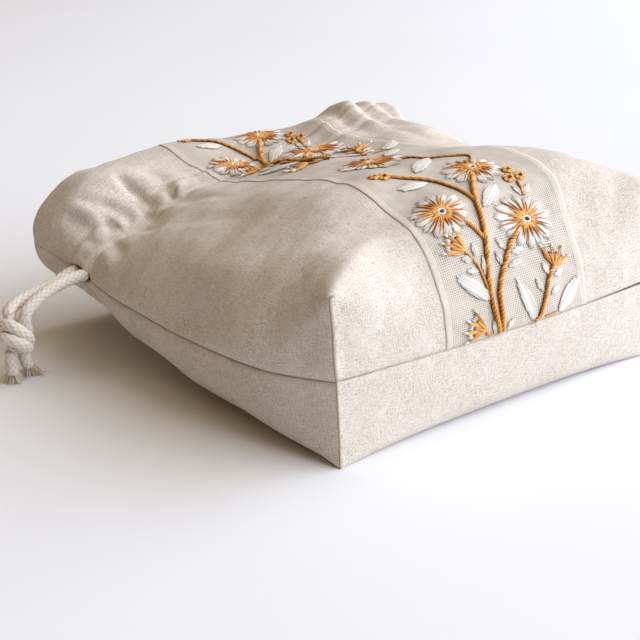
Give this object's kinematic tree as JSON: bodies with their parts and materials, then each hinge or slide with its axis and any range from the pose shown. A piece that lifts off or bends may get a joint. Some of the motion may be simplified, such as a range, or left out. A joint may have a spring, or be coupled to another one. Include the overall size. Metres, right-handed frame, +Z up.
{
  "type": "drawstring pouch",
  "caption": "soft boxed-bottom drawstring pouch of linen with an embroidered tulle band, a gathered casing, a frilled mouth and a knotted cord at one side",
  "frame": {"origin": "middle of the box round the cloth, on the surface that the pouch lies on", "axes": "+Z up, away from the back panel that it lies on; +Y from the boxed bottom to the mouth; +X across the pouch, with the cord leaving on the -X side"},
  "size_m": [0.2168, 0.1622, 0.0773],
  "materials": {
    "linen": "plain woven natural linen, matt",
    "tulle": "fine cream net over linen, embroidered in thread",
    "cord": "knitted cotton cord, matt"
  },
  "bodies": {
    "root": {"front_panel": "linen", "back_panel": "linen", "embroidered_band": "tulle", "drawstring_loop": "cord", "strand_front": "cord", "strand_back": "cord", "cord_knot": "cord", "tail_front": "cord", "tail_back": "cord"}
  },
  "joints": []
}
